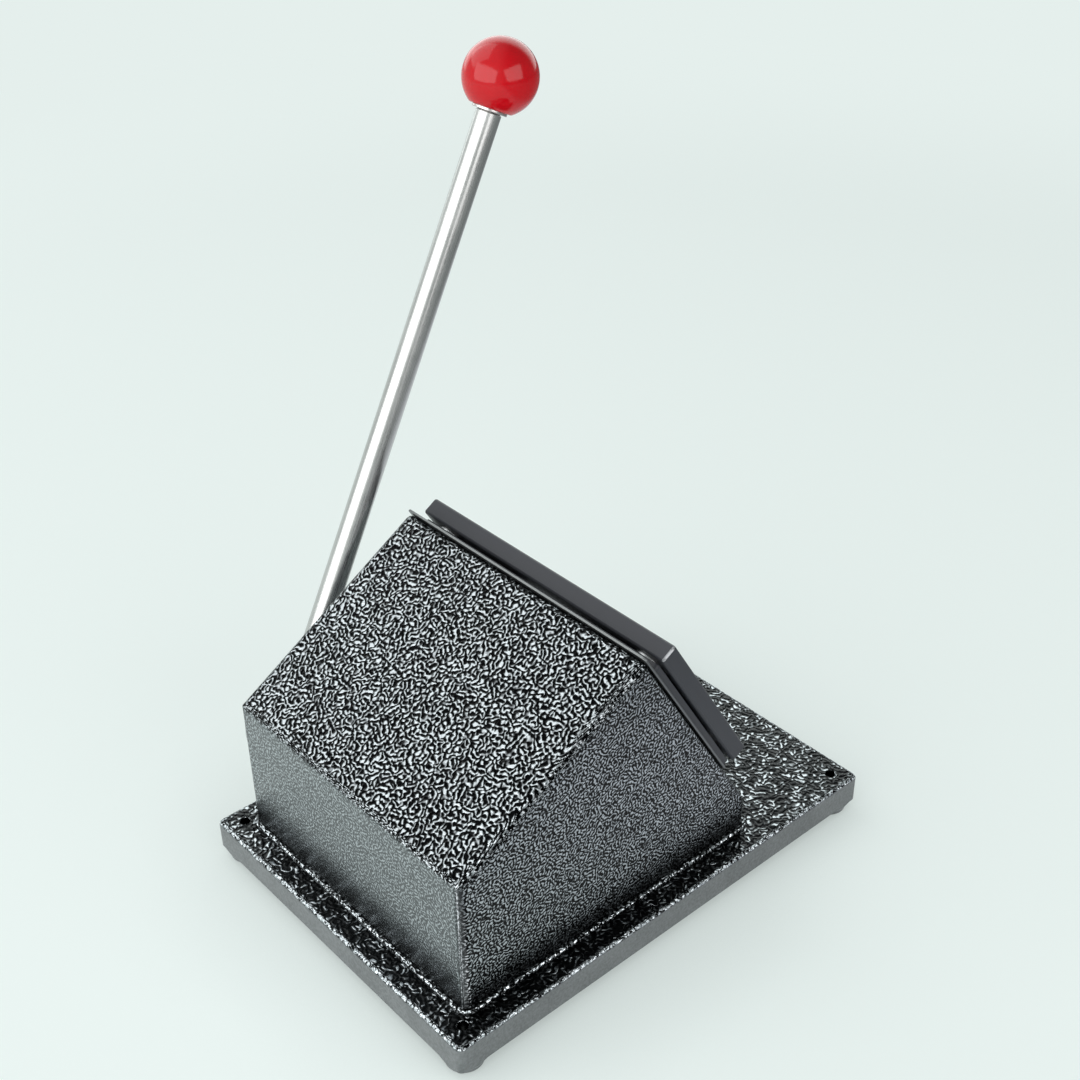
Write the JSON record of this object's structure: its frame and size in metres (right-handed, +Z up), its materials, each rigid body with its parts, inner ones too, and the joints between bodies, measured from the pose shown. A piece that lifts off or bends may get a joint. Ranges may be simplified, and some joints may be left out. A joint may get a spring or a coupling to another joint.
{
  "type": "badge blank die cutter",
  "caption": "Desk lever die cutter for round badge blanks: roof-shaped cast housing on a footed base, slanted die plate with paper slot, side lever with red ball knob.",
  "frame": {"origin": "centre of the four bench bolt holes, on the plane under the rubber feet", "axes": "+Z up, -Y towards the user and the die plate, +X to the user's right where the lever stands"},
  "size_m": [0.1932, 0.232, 0.3251],
  "materials": {
    "cast_paint": "black hammered paint",
    "foot_rubber": "matt",
    "black_screw": "black oxide",
    "bronze": "turned",
    "bright_steel": "bright",
    "die_black": "satin black oxide",
    "tool_steel": "ground",
    "rod_chrome": "polished",
    "knob_red": "gloss"
  },
  "bodies": {
    "frame": {"base_plate": "cast_paint", "rubber_feet": "foot_rubber", "housing": "cast_paint", "housing_screws": "black_screw", "shaft_bush_left": "bronze", "shaft_bush_right": "bronze", "guide_sheet": "bright_steel", "stripper_plate": "die_black", "slot_spacers": "bright_steel", "die_plate": "die_black", "die_screws": "black_screw", "dowel_pins": "bright_steel", "punch_guide": "bronze", "guide_posts": "bright_steel", "post_washers": "bright_steel", "post_nuts": "black_screw", "return_springs": "bright_steel", "thrust_washer": "bronze"},
    "lever": {"cam_shaft": "bright_steel", "cam": "tool_steel", "cam_pin": "bright_steel", "retaining_ring": "tool_steel", "lever_hub": "bright_steel", "end_washer": "bright_steel", "end_screw": "black_screw", "lever_rod": "rod_chrome", "lock_nut": "bright_steel", "knob_insert": "bronze", "ball_knob": "knob_red"},
    "ram": {"punch": "tool_steel", "ram_column": "tool_steel", "crosshead": "die_black", "crosshead_bushes": "bronze", "ram_bolt": "black_screw", "follower_pad": "tool_steel", "pad_screws": "black_screw"}
  },
  "joints": [
    {"name": "lever_hinge", "type": "hinge", "parent": "frame", "child": "lever", "pos_m": [0, 0.07404, 0.04224], "axis": [1, 0, 0], "range_deg": [0, 60], "stiffness_Nm_per_rad": 1, "springref_deg": -34.38},
    {"name": "ram_slide", "type": "slide", "parent": "frame", "child": "ram", "axis": [0, -0.8572, 0.515], "range_m": [0, 0.00733], "deforming": ["return_springs"]}
  ],
  "couplings": [
    {"joint": "ram_slide", "follows": "lever_hinge", "m_per_rad": 0.007}
  ]
}
